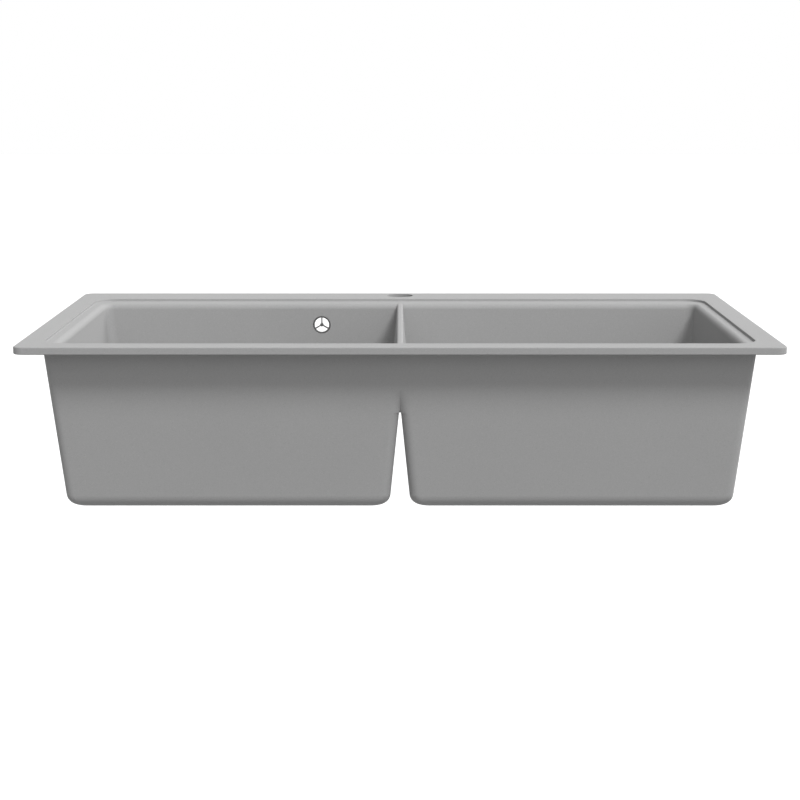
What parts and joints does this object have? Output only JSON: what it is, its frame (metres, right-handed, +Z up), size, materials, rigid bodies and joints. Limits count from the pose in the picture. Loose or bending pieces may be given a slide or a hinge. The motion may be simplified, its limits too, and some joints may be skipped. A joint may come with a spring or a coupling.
{
  "type": "double bowl kitchen sink",
  "caption": "Drop-in kitchen sink in matt grey granite composite, with two equal bowls, a sunken shelf, a tap ledge, an overflow and a lift-out basket strainer waste in each bowl.",
  "frame": {"origin": "centre of the worktop cut-out, in the plane of the rim's underside", "axes": "+Z up out of the bowls, -Y towards the front edge where the user stands, +X to the user's right along the long side"},
  "size_m": [0.86, 0.5, 0.2417],
  "materials": {
    "granite_composite": "matt quartz-filled acrylic, mid grey with a very fine even grain",
    "stainless_steel": "stainless steel, satin on the flange and basket",
    "black_rubber": "soft black rubber",
    "white_polypropylene": "injection-moulded white polypropylene",
    "brass": "plain turned brass",
    "black_plastic": "semi-gloss black plastic"
  },
  "bodies": {
    "sink": {"sink_body": "granite_composite", "overflow_grille": "stainless_steel", "overflow_inlet_washer": "black_rubber", "overflow_inlet_cap": "white_polypropylene", "left_flange_gasket": "black_rubber", "left_waste_flange": "stainless_steel", "left_under_gasket": "black_rubber", "left_waste_body": "white_polypropylene", "left_fixing_nut": "brass", "left_fixing_screw": "stainless_steel", "right_flange_gasket": "black_rubber", "right_waste_flange": "stainless_steel", "right_under_gasket": "black_rubber", "right_waste_body": "white_polypropylene", "right_fixing_nut": "brass", "right_fixing_screw": "stainless_steel"},
    "left_basket": {"left_strainer_basket": "stainless_steel", "left_basket_seal": "black_rubber", "left_basket_stem": "stainless_steel", "left_basket_knob": "black_plastic"},
    "right_basket": {"right_strainer_basket": "stainless_steel", "right_basket_seal": "black_rubber", "right_basket_stem": "stainless_steel", "right_basket_knob": "black_plastic"}
  },
  "joints": [
    {"name": "left_basket_lift", "type": "slide", "parent": "sink", "child": "left_basket", "axis": [0, 0, 1], "range_m": [0, 0.22]},
    {"name": "right_basket_lift", "type": "slide", "parent": "sink", "child": "right_basket", "axis": [0, 0, 1], "range_m": [0, 0.22]}
  ]
}
